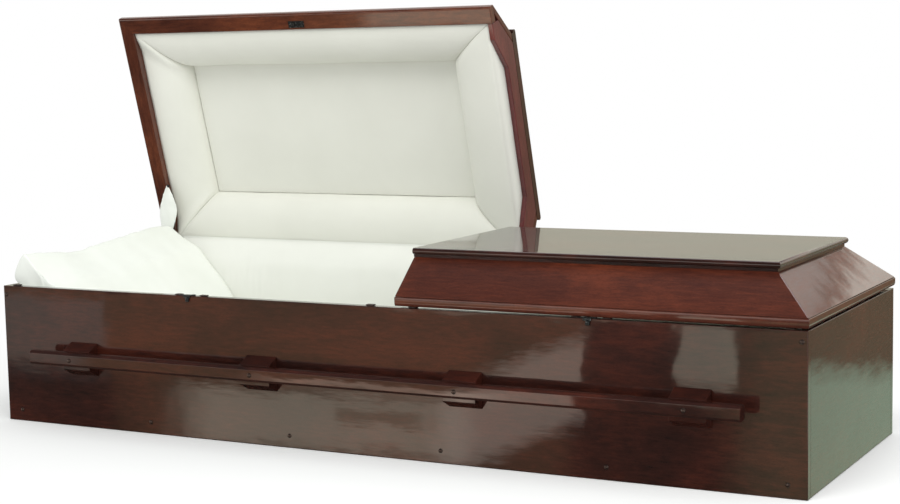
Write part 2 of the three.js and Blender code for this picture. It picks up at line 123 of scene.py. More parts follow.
def make_camera():
    forward = Vector((
        -math.sin(YAW) * math.cos(PITCH),
        math.cos(YAW) * math.cos(PITCH),
        math.sin(PITCH),
    ))
    level = Vector((math.cos(YAW), math.sin(YAW), 0))
    above = level.cross(forward)
    right = math.cos(ROLL) * level + math.sin(ROLL) * above
    up = -math.sin(ROLL) * level + math.cos(ROLL) * above
    data = bpy.data.cameras.new("camera")
    data.sensor_width = SENSOR
    data.lens = LENS
    camera = add_object("camera", data)
    turn = Matrix((right, up, -forward)).transposed()
    camera.matrix_world = Matrix.Translation(EYE) @ turn.to_4x4()
    scene.camera = camera


make_camera()


# Material helpers
def feed(socket, value):
    """Links another node's output to a socket, or gives the socket a plain value."""
    if isinstance(value, bpy.types.NodeSocket):
        socket.id_data.links.new(value, socket)
    else:
        socket.default_value = value


def set_inputs(node, values):
    for key, value in values.items():
        feed(node.inputs[key], value)


def add_node(tree, kind, inputs=None, **settings):
    made = tree.nodes.new("ShaderNode" + kind)
    for key, value in settings.items():
        setattr(made, key, value)
    set_inputs(made, inputs or {})
    return made


def new_material(name):
    material = bpy.data.materials.new(name)
    material.use_nodes = True
    return material, material.node_tree, material.node_tree.nodes["Principled BSDF"]


def ramp(tree, factor, stops):
    made = add_node(tree, "ValToRGB", {"Fac": factor})
    elements = made.color_ramp.elements
    while len(elements) < len(stops):
        elements.new(0.5)
    for element, (position, colour) in zip(elements, stops):
        element.position = position
        element.color = (*colour, 1)
    return made.outputs["Color"]


def scaled(tree, vector, scale):
    return add_node(
        tree, "VectorMath", {0: vector, 1: scale}, operation="MULTIPLY"
    ).outputs["Vector"]


def combine(tree, operation, first, second, third=0.0):
    made = add_node(tree, "Math", {0: first, 1: second, 2: third}, operation=operation)
    return made.outputs["Value"]


def ranged(tree, value, low, high, start=0.0, end=1.0, kind="LINEAR"):
    """Value between low and high spread from start to end, and held outside."""
    return add_node(tree, "MapRange", {
        "Value": value, "From Min": low, "From Max": high, "To Min": start, "To Max": end,
    }, interpolation_type=kind).outputs["Result"]


def noise_of(tree, vector, scale, detail=3.0, roughness=0.5, distortion=0.0):
    return add_node(tree, "TexNoise", {
        "Vector": vector,
        "Scale": scale,
        "Detail": detail,
        "Roughness": roughness,
        "Distortion": distortion,
    }).outputs["Fac"]


def mixed(tree, factor, first, second, blend="MIX"):
    made = add_node(tree, "Mix", data_type="RGBA", blend_type=blend)
    colours = [s for s in made.inputs if s.type == "RGBA"]
    for socket, value in zip((made.inputs[0], *colours), (factor, first, second)):
        feed(socket, value)
    return next(s for s in made.outputs if s.type == "RGBA")


def bump(tree, height, strength, distance, normal=None):
    inputs = {"Height": height, "Strength": strength, "Distance": distance}
    if normal is not None:
        inputs["Normal"] = normal
    return add_node(tree, "Bump", inputs).outputs["Normal"]


def lacquered_wood(name, dark, middle, light):
    """Stained hardwood under a glossy clear coat; the grain runs along the attribute's first axis."""
    material, tree, shader = new_material(name)
    grain = add_node(tree, "Attribute", attribute_name="grain").outputs["Vector"]
    patches = noise_of(tree, scaled(tree, grain, (2.6, 6.0, 6.0)), 1.0, 6.0, 0.62, 0.5)
    figure = noise_of(tree, scaled(tree, grain, (24.0, 150.0, 150.0)), 1.0, 4.0, 0.6, 0.4)
    pores = noise_of(tree, scaled(tree, grain, (160.0, 900.0, 900.0)), 1.0, 3.0, 0.65)
    tone = combine(tree, "MULTIPLY_ADD", figure, 0.38, combine(tree, "MULTIPLY", patches, 0.62))
    colour = ramp(tree, tone, [(0.36, dark), (0.50, middle), (0.64, light)])
    pore_shade = ramp(tree, pores, [(0.36, (0.62, 0.58, 0.56)), (0.50, (1, 1, 1))])
    waves = noise_of(tree, grain, 9.0, 2.0, 0.4)
    ripple = noise_of(tree, scaled(tree, grain, (14.0, 60.0, 60.0)), 1.0, 2.0, 0.5)
    set_inputs(shader, {
        "Base Color": mixed(tree, 0.8, colour, pore_shade, "MULTIPLY"),
        "Roughness": ramp(tree, figure, [(0.3, (0.30,) * 3), (0.7, (0.42,) * 3)]),
        "Specular IOR Level": 0.1,
        "Normal": bump(tree, pores, 0.25, 0.0002),
        "Coat Weight": 1.0,
        "Coat Roughness": 0.045,
        "Coat IOR": 1.5,
        "Coat Normal": bump(tree, ripple, 0.10, 0.0008, bump(tree, waves, 0.16, 0.004)),
    })
    return material


def crepe_cloth(name, shade, light, weave_scale, weave_depth):
    """Matt white lining cloth with a fine crinkled weave."""
    material, tree, shader = new_material(name)
    where = add_node(tree, "Attribute", attribute_name="grain").outputs["Vector"]
    soft = noise_of(tree, where, 7.0, 3.0, 0.5)
    threads = noise_of(tree, scaled(tree, where, (1.0, 2.2, 1.6)), weave_scale, 3.0, 0.65, 0.8)
    cross = noise_of(tree, scaled(tree, where, (2.2, 1.0, 1.2)), weave_scale * 0.9, 2.0, 0.6)
    both = combine(tree, "ADD", threads, cross)
    ease = bump(tree, noise_of(tree, where, 16.0, 2.0, 0.5), 0.2, 0.0010)
    set_inputs(shader, {
        "Base Color": ramp(tree, soft, [(0.30, shade), (0.70, light)]),
        "Roughness": ramp(tree, both, [(0.4, (0.78,) * 3), (1.0, (0.90,) * 3)]),
        "Specular IOR Level": 0.2,
        "Normal": bump(tree, both, 0.35, weave_depth, ease),
        "Sheen Weight": 0.12,
        "Sheen Roughness": 0.5,
    })
    return material


def worn_metal(name, dark, light, roughness):
    material, tree, shader = new_material(name)
    where = add_node(tree, "TexCoord").outputs["Object"]
    wear = noise_of(tree, where, 260.0, 4.0, 0.6)
    set_inputs(shader, {
        "Base Color": ramp(tree, wear, [(0.54, dark), (0.72, light)]),
        "Metallic": 0.85,
        "Roughness": ramp(tree, wear, [(0.3, (roughness * 0.8,) * 3), (0.7, (roughness * 1.3,) * 3)]),
        "Normal": bump(tree, wear, 0.2, 0.0003),
    })
    return material


def matt_rubber(name):
    material, tree, shader = new_material(name)
    where = add_node(tree, "TexCoord").outputs["Object"]
    speckle = noise_of(tree, where, 700.0, 3.0, 0.6)
    set_inputs(shader, {
        "Base Color": ramp(tree, speckle, [(0.3, (0.020, 0.013, 0.011)), (0.7, (0.060, 0.038, 0.030))]),
        "Roughness": 0.6,
        "Normal": bump(tree, speckle, 0.3, 0.0003),
    })
    return material


WOOD = lacquered_wood(
    "mahogany_lacquer", (0.012, 0.0046, 0.0038), (0.030, 0.0082, 0.0056), (0.060, 0.0135, 0.0076)
)
# Redder, brighter copy of the mahogany for the hips and the foot lid's band: the redder tone is the wood's
# own, the extra brightness is painted light
REDDER_LIT_WOOD = lacquered_wood(
    "mahogany_lacquer_redder_painted_light", (0.040, 0.0105, 0.0070), (0.072, 0.0175, 0.0095), (0.118, 0.0270, 0.0125)
)
# Brighter, more orange copy of the mahogany for the head lid's band: its extra brightness is painted light
PAINTED_LIT_WOOD = lacquered_wood(
    "mahogany_lacquer_painted_lit", (0.046, 0.0125, 0.0070), (0.090, 0.0240, 0.0110), (0.155, 0.0420, 0.0160)
)
# Rosier, brighter copy of the mahogany for the head lid's header: its pink tone is a painted reflection
PAINTED_REFLECTION_WOOD = lacquered_wood(
    "mahogany_lacquer_header_painted_reflection", (0.075, 0.0150, 0.0160), (0.125, 0.0260, 0.0260), (0.185, 0.042, 0.0380)
)
CLOTH = crepe_cloth("white_crepe", (0.80, 0.82, 0.765), (0.84, 0.86, 0.81), 900.0, 0.0004)
# Greyer copy of the white crepe for the body lining and hinge apron: its darker colour is painted shade
SHADED_WALL_CLOTH = crepe_cloth("wall_crepe_painted_shade", (0.770, 0.775, 0.722), (0.800, 0.805, 0.752), 900.0, 0.0004)
# Greyer copy of the white crepe for the lid linings: its darker colour is painted shade
SHADED_LINING_CLOTH = crepe_cloth("lining_crepe_painted_shade", (0.712, 0.712, 0.646), (0.740, 0.740, 0.674), 1000.0, 0.0003)
STEEL = worn_metal("dark_steel", (0.022, 0.026, 0.028), (0.20, 0.23, 0.24), 0.36)
SCREW_METAL = worn_metal("brown_screw_metal", (0.075, 0.055, 0.048), (0.26, 0.22, 0.20), 0.40)
RUBBER = matt_rubber("rubber")


# Mesh helpers
def swept(rings, looped=False):
    """Points and faces of a body through rings of points that match one another."""
    count = len(rings[0])
    points = [p for ring in rings for p in ring]
    faces = []
    for row in range(len(rings) if looped else len(rings) - 1):
        here = row * count
        there = (row + 1) % len(rings) * count
        for i in range(count):
            j = (i + 1) % count
            faces.append((here + i, here + j, there + j, there + i))
    if not looped:
        faces.append(tuple(reversed(range(count))))
        faces.append(tuple(range(len(points) - count, len(points))))
    return points, faces


def grid(rows):
    """Points and faces of an open surface through rows of points."""
    count = len(rows[0])
    points = [p for row in rows for p in row]
    faces = []
    for row in range(len(rows) - 1):
        for i in range(count - 1):
            a = row * count + i
            faces.append((a, a + 1, a + count + 1, a + count))
    return points, faces


def joined(shapes):
    points, faces = [], []
    for more_points, more_faces in shapes:
        start = len(points)
        points.extend(more_points)
        faces.extend(tuple(start + i for i in face) for face in more_faces)
    return points, faces


def lathe(profile, centre, axis, sides=14):
    """A turned body: profile lists radius and height along the axis, ending at the middle of the top."""
    turn = Vector((0, 0, 1)).rotation_difference(Vector(axis)).to_matrix()
    rings = []
    for radius, height in profile:
        ring = []
        for i in range(sides):
            angle = 2 * math.pi * i / sides
            spot = Vector((radius * math.cos(angle), radius * math.sin(angle), height))
            ring.append(Vector(centre) + turn @ spot)
        rings.append(ring)
    return swept(rings)


def stops(low, high, radius, steps, middle):
    ends = [radius * (1 - math.tan(math.pi / 4 * (1 - k / steps))) for k in range(steps + 1)]
    inner = [low + radius + (high - low - 2 * radius) * k / middle for k in range(1, middle)]
    return [low + e for e in ends] + inner + [high - e for e in reversed(ends)]


def rounded_slab(low, high, radius, steps=3, cells=(1, 1, 1)):
    """Points and faces of a box with rounded edges, cut into cells along each axis."""
    low, high = Vector(low), Vector(high)
    lines = [stops(low[a], high[a], radius, steps, cells[a]) for a in range(3)]
    index, points, faces = {}, [], []

    def point(place):
        if place not in index:
            spot = Vector(lines[a][place[a]] for a in range(3))
            inner = Vector(min(max(spot[a], low[a] + radius), high[a] - radius) for a in range(3))
            away = spot - inner
            points.append(inner + away.normalized() * radius if away.length > 0 else inner)
            index[place] = len(points) - 1
        return index[place]

    for axis in range(3):
        u, v = (axis + 1) % 3, (axis + 2) % 3
        for side in (0, len(lines[axis]) - 1):
            for i in range(len(lines[u]) - 1):
                for j in range(len(lines[v]) - 1):
                    face = []
                    for di, dj in ((0, 0), (1, 0), (1, 1), (0, 1)):
                        place = [0, 0, 0]
                        place[axis], place[u], place[v] = side, i + di, j + dj
                        face.append(point(tuple(place)))
                    faces.append(tuple(face if side else reversed(face)))
    return points, faces


def moved(shape, matrix):
    points, faces = shape
    return [matrix @ Vector(p) for p in points], faces


def smooth_piece(name, mesh, material):
    mesh.materials.append(material)
    mesh.polygons.foreach_set("use_smooth", [True] * len(mesh.polygons))
    mesh.update()
    piece = add_object(name, mesh)
    return piece


def make_piece(name, shape, material, closed=True):
    points, faces = shape
    mesh = bpy.data.meshes.new(name)
    mesh.from_pydata([tuple(p) for p in points], [], faces)
    if closed:
        build = bmesh.new()
        build.from_mesh(mesh)
        bmesh.ops.recalc_face_normals(build, faces=build.faces)
        build.to_mesh(mesh)
        build.free()
    return smooth_piece(name, mesh, material)


def weighted_normals(mesh):
    """Normals weighed by face area, so flat boards stay flat and only their edges look round."""
    sums = [Vector() for _ in mesh.vertices]
    for face in mesh.polygons:
        push = face.normal * face.area
        for i in face.vertices:
            sums[i] += push
    normals = [s.normalized() if s.length > 0 else Vector((0, 0, 1)) for s in sums]
    mesh.normals_split_custom_set_from_vertices(normals)


def write_cloth_map(piece):
    """Keeps each point's rest place for the weave, so that it doesn't slide when the piece bends."""
    mesh = piece.data
    layer = mesh.attributes.new("grain", "FLOAT_VECTOR", "POINT")
    layer.data.foreach_set("vector", [c for v in mesh.vertices for c in v.co])


def displace(piece, amount):
    """Moves each point along its normal by amount(place, normal)."""
    mesh = piece.data
    mesh.update()
    shifts = [v.normal * amount(v.co.copy(), v.normal.copy()) for v in mesh.vertices]
    for vertex, shift in zip(mesh.vertices, shifts):
        vertex.co += shift
    mesh.update()


def cushion(name, shape, material, body, node, shift=None):
    """A padded cloth piece, its points moved along their normals by shift(place, normal)."""
    piece = make_piece(name, shape, material)
    if shift is not None:
        displace(piece, shift)
    write_cloth_map(piece)
    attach(piece, body)
    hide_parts(node)
    return piece


def smooth_step(low, high, value):
    share = min(max((value - low) / (high - low), 0), 1)
    return share * share * (3 - 2 * share)


# Lacquered boards: CAD boards with rounded arrises
def across_side(centre, lid):
    """True where a lid's frame belongs to its end board, whose grain runs across the casket."""
    end = LIDS[lid][LIDS[lid]["end"]]
    return abs(centre.x - end) < LID_HALF_WIDTH - abs(centre.y)


def write_grain(mesh, to_closed, across, offset):
    layer = mesh.attributes.new("grain", "FLOAT_VECTOR", "CORNER")
    values = [0.0] * (3 * len(mesh.loops))
    for face in mesh.polygons:
        centre = to_closed @ face.center
        turned = across(centre)
        for loop in face.loop_indices:
            place = to_closed @ mesh.vertices[mesh.loops[loop].vertex_index].co
            along, beside = (place.y, place.x) if turned else (place.x, place.y)
            values[3 * loop:3 * loop + 3] = (along + offset, beside + offset, place.z)
    layer.data.foreach_set("vector", values)


def clean_solid(node_name):
    """A CAD node's mesh as whole flat faces with shared corners."""
    build = bmesh.new()
    build.from_mesh(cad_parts[node_name].data)
    bmesh.ops.remove_doubles(build, verts=build.verts, dist=1e-5)
    bmesh.ops.dissolve_limit(
        build, angle_limit=math.radians(0.5), verts=build.verts, edges=build.edges
    )
    return build


def weld(builds, on_mitre):
    """Joins mitred boards into one body without the faces at each mitre."""
    whole = bmesh.new()
    for build in builds:
        part = bpy.data.meshes.new("part")
        caps = [
            face for face in build.faces
            if on_mitre(face.calc_center_median()) and all(on_mitre(v.co) for v in face.verts)
        ]
        bmesh.ops.delete(build, geom=caps, context="FACES_ONLY")
        build.to_mesh(part)
        whole.from_mesh(part)
        bpy.data.meshes.remove(part)
        build.free()
    bmesh.ops.remove_doubles(whole, verts=whole.verts, dist=0.0006)
    return whole


def round_edges(build, width, sharpest, wanted=lambda edge: True):
    edges = [
        e for e in build.edges
        if len(e.link_faces) == 2 and e.calc_face_angle(0) > sharpest
        and wanted(e)
    ]
    if edges:
        bmesh.ops.bevel(
            build, geom=edges, offset=width, offset_type="OFFSET", segments=3,
            profile=0.5, affect="EDGES", clamp_overlap=True,
        )


def board(name, build, material, body, across, nodes, offset):
    mesh = bpy.data.meshes.new(name)
    bmesh.ops.recalc_face_normals(build, faces=build.faces)
    build.to_mesh(mesh)
    build.free()
    piece = smooth_piece(name, mesh, material)
    to_closed = PLACES.get(body, Matrix.Identity(4)).inverted()
    write_grain(mesh, to_closed, across, offset)
    weighted_normals(mesh)
    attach(piece, body)
    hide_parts(*nodes)


SHARP = math.radians(25)
CORNER = math.radians(50)


def along_length(centre):
    return False


def across_length(centre):
    return True


def plain_board(name, node, width, sharpest, across, offset, material=WOOD, body="casket"):
    """One solid of the model as a board, with all its edges past an angle rounded."""
    build = clean_solid(node)
    round_edges(build, width, sharpest)
    board(name, build, material, body, across, [node], offset)


def build_body_boards():
    for number, (name, facing) in enumerate((("side_front", -1), ("side_back", 1))):
        build = clean_solid(name)
        round_edges(
            build, 0.0014, CORNER,
            lambda e: all(abs(v.co.y * facing - HALF_WIDTH) < 1e-4 for v in e.verts),
        )
        round_edges(build, 0.0008, CORNER)
        board(name + "_board", build, WOOD, "casket", along_length, [name], 0.7 * number)
    for number, (name, facing) in enumerate((("end_head", -1), ("end_foot", 1))):
        build = clean_solid(name)
        round_edges(
            build, 0.0018, CORNER,
            lambda e: all(abs(v.co.x * facing - HALF_LENGTH) < 1e-4 for v in e.verts)
            and abs(e.verts[0].co.z - e.verts[1].co.z) < 1e-4,
        )
        round_edges(build, 0.0005, CORNER)
        board(name + "_board", build, WOOD, "casket", across_length, [name], 1.7 + number)
    for side in ("front", "back"):
        plain_board(f"carrying_bar_{side}", f"bar_{side}", 0.0012, SHARP, along_length, 3.1)
        for number in range(1, 5):
            name = f"bracket_{side}_{number}"
            plain_board(name + "_block", name, 0.0014, SHARP, along_length, 0.37 * number)
    plain_board("floor_panel", "floor_board", 0.0008, CORNER, along_length, 5.3)


def lid_top(lid):
    """Top board with a rounded nose over a small fillet on three sides."""
    sizes = LIDS[lid]
    outward = 1 if sizes["end"] == "right" else -1
    split_x = sizes[sizes["split"]]
    end_x = sizes[sizes["end"]] - outward * HIP_RUN_END
    radius = (TOP_THICKNESS - TOP_FILLET) / 2
    reach = TOP_PROJECTION - radius
    crown = HIP_TOP + TOP_THICKNESS
    edge = [(-TOP_SET_BACK, HIP_TOP + FIT), (-TOP_SET_BACK, crown - 2 * radius)]
    arc_steps = 14
    for step in range(arc_steps + 1):
        angle = math.pi * (step / arc_steps - 0.5)
        edge.append((reach + radius * math.cos(angle), crown - radius + radius * math.sin(angle)))
    rings = []
    for out, height in edge:
        x = end_x + outward * out
        y = LID_HALF_WIDTH - HIP_RUN_SIDE + out
        z = RIM_PLANE + height
        rings.append([
            PLACES[lid] @ Vector(p)
            for p in ((split_x, -y, z), (x, -y, z), (x, y, z), (split_x, y, z))
        ])
    points, faces = swept(rings)
    build = bmesh.new()
    corners = [build.verts.new(p) for p in points]
    for face in faces:
        build.faces.new([corners[i] for i in face])
    bmesh.ops.recalc_face_normals(build, faces=build.faces)
    return build


def build_lid_boards(lid):
    def turned(centre):
        return across_side(centre, lid)

    end_x = LIDS[lid][LIDS[lid]["end"]]
    to_closed = PLACES[lid].inverted()
    band_wood = PAINTED_LIT_WOOD if lid == "head_lid" else REDDER_LIT_WOOD
    for kind, width, share, finish in (
        ("band", 0.0010, 1.0, band_wood), ("hip", 0.0024, HIP_RUN_SIDE / HIP_RUN_END, REDDER_LIT_WOOD),
    ):
        def on_mitre(spot, share=share):
            place = to_closed @ spot
            return abs(abs(place.x - end_x) * share - (LID_HALF_WIDTH - abs(place.y))) < 0.0004

        names = [f"{lid}_{kind}_{side}" for side in ("front", "end", "back")]
        build = weld([clean_solid(name) for name in names], on_mitre)
        for vertex in build.verts:
            place = to_closed @ vertex.co
            if kind == "band" and place.z < RIM_PLANE + BAND_HEIGHT / 2:
                drop = RIM_DROP + (BACK_RIM_DROP - RIM_DROP) * smooth_step(0.0, 0.28, place.y)
                place.z -= drop * smooth_step(RIM_PLANE + BAND_HEIGHT / 2, RIM_PLANE, place.z)
                vertex.co = PLACES[lid] @ place
        round_edges(build, width, CORNER)
        board(f"{lid}_{kind}_boards", build, finish, lid, turned, names, 1.3)
    build = lid_top(lid)
    round_edges(build, 0.0012, CORNER)
    board(f"{lid}_top_board", build, WOOD, lid, along_length, [f"{lid}_top"], 2.2)
    name = f"{lid}_header"
    plain_board(f"{name}_board", name, 0.0015, SHARP, across_length, 0.9, PAINTED_REFLECTION_WOOD, body=lid)


# Lid lining: puffed rolls round a sunk panel
def roll_section(puff, behind_header, rim_clear):
    """Inset across the roll, height over the lid's rim, and inset where the roll's ends are cut."""
    start = BAND_WIDTH + FIT
    top = HIP_TOP - FIT
    face = (top - BAND_HEIGHT) * HIP_RUN_SIDE / HIP_HEIGHT + HIP_CUT + 2 * FIT
    corner = BAND_HEIGHT + (start - HIP_CUT - 2 * FIT) * HIP_HEIGHT / HIP_RUN_SIDE
    upper = start if behind_header else face
    section = [(start, corner, start), (upper, top, face), (ROLL_INSET, top, ROLL_INSET)]
    width = ROLL_INSET - start
    height = LINING_DEPTH - rim_clear
    arc_steps = 26
    for step in range(arc_steps + 1):
        angle = math.pi / 2 * step / arc_steps
        swell = 1 + (puff - 1) * math.sin(2 * angle)
        inset = start + width * math.cos(angle) * swell
        section.append((inset, LINING_DEPTH - height * math.sin(angle) * swell, inset))
    return section


def inset_places(lid):
    sizes = LIDS[lid]
    start = BAND_WIDTH + FIT
    share = (ROLL_INSET - HEADER - FIT) / (ROLL_INSET - start)

    def plain(inset):
        return inset

    def behind_header(inset):
        return HEADER + FIT + (inset - start) * share

    rules = {sizes["end"]: plain, sizes["split"]: behind_header}
    return {
        "left": lambda a: sizes["left"] + rules["left"](a),
        "right": lambda a: sizes["right"] - rules["right"](a),
        "front": lambda a: -LID_HALF_WIDTH + a,
        "back": lambda a: LID_HALF_WIDTH - a,
    }


def roll_shape(lid, side):
    """A lining roll between its two mitres, drawn in a little at each seam."""
    place = inset_places(lid)
    lengthwise = side in ("front", "back")
    low_corner, high_corner = ("left", "right") if lengthwise else ("front", "back")
    middle = (BAND_WIDTH + ROLL_INSET) / 2
    length = place[high_corner](middle) - place[low_corner](middle)
    distances = [0, 0.002, 0.005, 0.009, 0.014, 0.021, 0.030, 0.042]
    columns = 34
    shares = [d / length for d in distances]
    inner = shares[-1]
    shares += [inner + (1 - 2 * inner) * k / columns for k in range(1, columns)]
    shares += [1 - d / length for d in reversed(distances)]
    rings = []
    for share in shares:
        from_seam = min(share, 1 - share) * length
        puff = 1.012 - 0.052 * math.exp(-from_seam / 0.008)
        deeper = 0.0
        if side == LIDS[lid]["end"]:
            deeper = 0.013 * smooth_step(0.0, 0.10, share) * (1 - smooth_step(0.90, 1.0, share))
        ring = []
        section = roll_section(puff, side == LIDS[lid]["split"], ROLL_RIM_CLEAR + deeper)
        for inset, height, cut in section:
            low = place[low_corner](cut) + FIT / 2
            high = place[high_corner](cut) - FIT / 2
            along = low + (high - low) * share
            across = place[side](inset)
            spot = (along, across) if lengthwise else (across, along)
            ring.append(PLACES[lid] @ Vector((*spot, RIM_PLANE + height)))
        rings.append(ring)
    return swept(rings)


def roll_ripple(place, normal):
    soft = noise.noise(place * 9.0) * 0.0011
    return soft + noise.noise(place * 31.0) * 0.00035


def build_lid_lining(lid):
    sizes = LIDS[lid]
    rolls = {"front": "front", "back": "back", "end": sizes["end"], "header": sizes["split"]}
    for label, side in rolls.items():
        name = f"{lid}_roll_{label}"
        shape = roll_shape(lid, side)
        cushion(f"{name}_cloth", shape, SHADED_LINING_CLOTH, lid, name, roll_ripple)
    place = inset_places(lid)
    edge = ROLL_INSET + FIT
    low = Vector((sizes["left"] + edge, -LID_HALF_WIDTH + edge, RIM_PLANE + LINING_DEPTH))
    high = Vector((sizes["right"] - edge, LID_HALF_WIDTH - edge, RIM_PLANE + HIP_TOP - FIT))
    shape = moved(rounded_slab(low, high, 0.004, 3, (30, 16, 1)), PLACES[lid])
    name = f"{lid}_lining_panel"
    cushion(
        f"{name}_cloth", shape, SHADED_LINING_CLOTH, lid, name,
        lambda place, normal: noise.noise(place * 6.0) * 0.0006,
    )


# Bed of the casket
def spread(keys, value):
    """Value between keyed rows of numbers, eased from key to key."""
    if value <= keys[0][0]:
        return keys[0][1]
    for (a, first), (b, second) in zip(keys, keys[1:]):
        if value <= b:
            share = smooth_step(a, b, value)
            return first + (second - first) * share
    return keys[-1][1]


def curve_through(points, steps):
    """Smooth open curve through points, with the same number of steps between each pair."""
    padded = [2 * points[0] - points[1], *points, 2 * points[-1] - points[-2]]
    made = []
    for i in range(1, len(padded) - 2):
        p0, p1, p2, p3 = padded[i - 1:i + 3]
        for k in range(steps):
            t = k / steps
            made.append(0.5 * (
                2 * p1 + (p2 - p0) * t
                + (2 * p0 - 5 * p1 + 4 * p2 - p3) * t * t
                + (3 * p1 - p0 - 3 * p2 + p3) * t * t * t
            ))
    made.append(points[-1])
    return made


PILLOW_TOP = [
    (-0.299, 0.408), (-0.256, 0.406), (-0.211, 0.403), (-0.077, 0.394),
    (-0.025, 0.402), (0.074, 0.413), (0.151, 0.421), (0.217, 0.426), (0.299, 0.427),
]
# Slope of the pillow from the head down to its toe: place along the bed, share of the height
PILLOW_SLOPE = [
    (-0.969, 0.995), (-0.935, 0.905), (-0.900, 0.830), (-0.879, 0.785), (-0.854, 0.697),
    (-0.829, 0.600), (-0.797, 0.480), (-0.766, 0.330), (-0.750, 0.150), (-0.747, 0.0),
]
PILLOW_LOW = MATTRESS_TOP + 0.0006
# Small dents beside the near seam: place, size, depth
PILLOW_DENTS = [
    ((-0.918, -0.299, 0.352), 0.011, 0.005),
    ((-0.945, -0.299, 0.345), 0.014, 0.004),
    ((-0.905, -0.280, 0.362), 0.008, 0.003),
]


def pillow_ring(y, shrink):
    top = spread(PILLOW_TOP, y)
    near = 1 - smooth_step(-0.299, -0.15, y)
    head = [
        Vector((x, z)) for x, z in (
            (-0.985, PILLOW_LOW), (-0.985, 0.22), (-0.985, 0.30), (-0.987, 0.333),
            (-0.998, 0.3395), (-1.0065, 0.345), (-1.0095, 0.354), (-1.003, top - 0.034),
            (-0.991, top - 0.012), (-0.982, top - 0.001),
        )
    ]
    slope = []
    for x, share in PILLOW_SLOPE:
        dip = 1 - 0.10 * near * smooth_step(-0.969, -0.90, x) * share
        z = PILLOW_LOW + (top - PILLOW_LOW) * share * dip
        slope.append(Vector((x, z)))
    back = [Vector((x, PILLOW_LOW)) for x in (-0.80, -0.86, -0.93)]
    outline = curve_through(head + slope, 4) + back
    middle = Vector((-0.885, 0.27))
    return [Vector((p.x, y, p.y)) for p in (middle + (q - middle) * shrink for q in outline)]


def build_pillow():
    edge = 0.2995
    near = [
        (0.0, 0.30), (0.0, 0.60), (0.0, 0.80), (0.0, 0.90), (0.0002, 0.955), (0.0010, 0.978),
        (0.0028, 0.996), (0.0048, 1.006), (0.0068, 1.004), (0.0085, 0.994), (0.012, 0.996), (0.021, 1.0),
    ]
    far = [
        (0.0, 0.62), (0.0006, 0.80), (0.0025, 0.90), (0.006, 0.955), (0.011, 0.983), (0.017, 0.997),
        (0.021, 1.0),
    ]
    places = [(-edge + d, s) for d, s in near]
    rows = 60
    inner = edge - near[-1][0]
    places += [(-inner + 2 * inner * k / rows, 1.0) for k in range(1, rows)]
    places += [(edge - d, s) for d, s in reversed(far)]
    shape = swept([pillow_ring(y, s) for y, s in places])

    def folds(place, normal):
        free = smooth_step(0.30, 0.37, place.z) * smooth_step(-0.1, 0.4, normal.z)
        broad = noise.noise(Vector((place.x * 7, place.y * 5, place.z * 7))) * 0.0060
        slant = place.y * 26 + place.x * 9
        crease = noise.noise(Vector((slant, place.x * 6, 3.3))) * 0.0026
        near_head = 1 - smooth_step(-0.96, -0.82, place.x)
        small = noise.noise(place * 42) * 0.0004
        dents = sum(
            depth * math.exp(-((place - Vector(spot)).length / size) ** 2)
            for spot, size, depth in PILLOW_DENTS
        )
        return free * (broad * 0.8 + crease * (0.35 + 0.65 * near_head)) + small - dents

    piece = cushion("pillow_cushion", shape, CLOTH, "casket", "pillow", folds)
    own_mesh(piece)


def build_mattress():
    gap = PANEL + LINING + 0.003
    low = (-HALF_LENGTH + gap, -HALF_WIDTH + gap, FLOOR + FIT)
    high = (HALF_LENGTH - gap, HALF_WIDTH - gap, MATTRESS_TOP)
    shape = rounded_slab(low, high, 0.022, 4, (60, 20, 3))

    def soft(place, normal):
        if normal.z < 0.2:
            return 0.0
        return min(0.0, noise.noise(place * 5.0) * 0.0035 - 0.0012) + noise.noise(place * 19.0) * 0.0008

    cushion("mattress_cushion", shape, CLOTH, "casket", "mattress", soft)


def build_body_lining():
    """Padded cloth round the inside, softly gathered into upright folds."""
    outer_x = HALF_LENGTH - PANEL - FIT
    outer_y = HALF_WIDTH - PANEL - FIT
    low = FLOOR + FIT
    corner = 0.022
    walk = []
    spacing = 0.011

    def line(start, end):
        count = max(2, round((end - start).length / spacing))
        return [start + (end - start) * k / count for k in range(count)]

    corners = [Vector((outer_x * x, outer_y * y)) for x, y in SQUARE]
    for i, here in enumerate(corners):
        after = corners[(i + 1) % 4]
        along = (after - here).normalized()
        straight = line(here + along * corner, after - along * corner)
        walk += [(p, Vector((-along.y, along.x))) for p in straight]
        follow = (corners[(i + 2) % 4] - after).normalized()
        for k in range(6):
            angle = math.pi / 2 * k / 6
            inward = Vector((-along.y, along.x)) * math.cos(angle)
            inward += Vector((-follow.y, follow.x)) * math.sin(angle)
            centre = after - along * corner + follow * corner
            walk.append((centre - inward * corner, inward))
    rings = []
    rim_roll = 0.012
    # Inset and drop of each step over the rim
    rim = ((0.0004, 0.0015), (0.0045, 0.0), (0.0080, 0.0012), (0.0098, 0.005), (0.0102, rim_roll))
    levels = 12
    for spot, inward in walk:
        fold = noise.noise(Vector((spot.x * 17, spot.y * 17, 1.7)))
        fine = noise.noise(Vector((spot.x * 48, spot.y * 48, 4.1)))
        high = BODY_HEIGHT - 0.003 - 0.012 * smooth_step(0.06, 0.16, spot.x)
        ring = [(inset, high - drop) for inset, drop in rim]
        for k in range(1, levels + 1):
            height = high - rim_roll + (low - high + rim_roll) * k / levels
            hang = smooth_step(0, 0.35, k / levels)
            drift = noise.noise(Vector((spot.x * 9, spot.y * 9, height * 6))) * 0.0012
            ring.append((0.0088 + hang * (0.0019 * fold + 0.0007 * fine) + drift, height))
        ring.append((0.0004, low))
        rings.append([Vector((*(spot + inward * inset), height)) for inset, height in ring])
    shape = swept(rings, looped=True)
    cushion("body_lining_cloth", shape, SHADED_WALL_CLOTH, "casket", "body_lining")


def opened(y, z):
    """A place in the closed head lid's section, turned to where the lid stands open."""
    spot = PLACES["head_lid"] @ Vector((0, y, z))
    return Vector((spot.y, spot.z))


